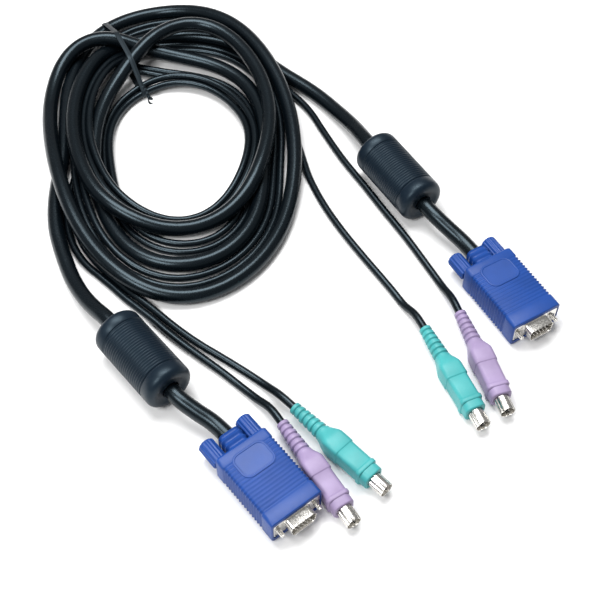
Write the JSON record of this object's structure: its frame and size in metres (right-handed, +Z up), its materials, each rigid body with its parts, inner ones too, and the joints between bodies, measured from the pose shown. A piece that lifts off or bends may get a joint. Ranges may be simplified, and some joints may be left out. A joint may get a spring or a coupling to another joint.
{
  "type": "kvm cable",
  "caption": "Coiled cable that carries video, keyboard and mouse together, with a blue video plug on a ferrite-choked cord and purple and green round plugs at each end.",
  "frame": {"origin": "on the surface that the cable lies on, under the middle of the box round its plugs, chokes and tie", "axes": "+Z up; +Y from the plugs towards the far side of the coil; +X to the right of someone who faces the coil across the plugs"},
  "size_m": [0.3263, 0.4167, 0.0301],
  "materials": {
    "cord_jacket": "satin black PVC jacket",
    "tie": "satin black plastic-covered wire",
    "blue_moulding": "satin moulded PVC",
    "purple_moulding": "satin moulded PVC",
    "green_moulding": "satin moulded PVC",
    "black_moulding": "satin moulded PVC",
    "black_insulator": "matt moulded plastic",
    "nickel_plate": "nickel-plated steel",
    "ferrite": "sintered, matt grey"
  },
  "bodies": {
    "cable": {"cable_coil": "cord_jacket", "cable_tie": "tie", "near_vga_hood": "blue_moulding", "near_vga_shell": "nickel_plate", "near_vga_insulator": "black_insulator", "near_ferrite_cover": "black_moulding", "near_ferrite_core": "ferrite", "near_keyboard_body": "purple_moulding", "near_keyboard_shell": "nickel_plate", "near_keyboard_insulator": "black_insulator", "near_mouse_body": "green_moulding", "near_mouse_shell": "nickel_plate", "near_mouse_insulator": "black_insulator", "near_vga_cord": "cord_jacket", "near_keyboard_cord": "cord_jacket", "near_mouse_cord": "cord_jacket", "far_vga_hood": "blue_moulding", "far_vga_shell": "nickel_plate", "far_vga_insulator": "black_insulator", "far_ferrite_cover": "black_moulding", "far_ferrite_core": "ferrite", "far_keyboard_body": "purple_moulding", "far_keyboard_shell": "nickel_plate", "far_keyboard_insulator": "black_insulator", "far_mouse_body": "green_moulding", "far_mouse_shell": "nickel_plate", "far_mouse_insulator": "black_insulator", "far_vga_cord": "cord_jacket", "far_keyboard_cord": "cord_jacket", "far_mouse_cord": "cord_jacket"},
    "near_left_thumbscrew": {"near_left_thumb_knob": "blue_moulding", "near_left_thumb_screw": "nickel_plate"},
    "near_right_thumbscrew": {"near_right_thumb_knob": "blue_moulding", "near_right_thumb_screw": "nickel_plate"},
    "far_left_thumbscrew": {"far_left_thumb_knob": "blue_moulding", "far_left_thumb_screw": "nickel_plate"},
    "far_right_thumbscrew": {"far_right_thumb_knob": "blue_moulding", "far_right_thumb_screw": "nickel_plate"}
  },
  "joints": [
    {"name": "near_left_thumbscrew_spin", "type": "hinge", "parent": "cable", "child": "near_left_thumbscrew", "pos_m": [0.00328, -0.18122, 0.00985], "axis": [0.6225, -0.7826, 0], "continuous": true},
    {"name": "near_right_thumbscrew_spin", "type": "hinge", "parent": "cable", "child": "near_right_thumbscrew", "pos_m": [-0.01628, -0.19678, 0.00985], "axis": [0.6225, -0.7826, 0], "continuous": true},
    {"name": "far_left_thumbscrew_spin", "type": "hinge", "parent": "cable", "child": "far_left_thumbscrew", "pos_m": [0.14427, -0.05966, 0.00985], "axis": [0.5075, -0.8616, 0], "continuous": true},
    {"name": "far_right_thumbscrew_spin", "type": "hinge", "parent": "cable", "child": "far_right_thumbscrew", "pos_m": [0.12273, -0.07234, 0.00985], "axis": [0.5075, -0.8616, 0], "continuous": true}
  ]
}
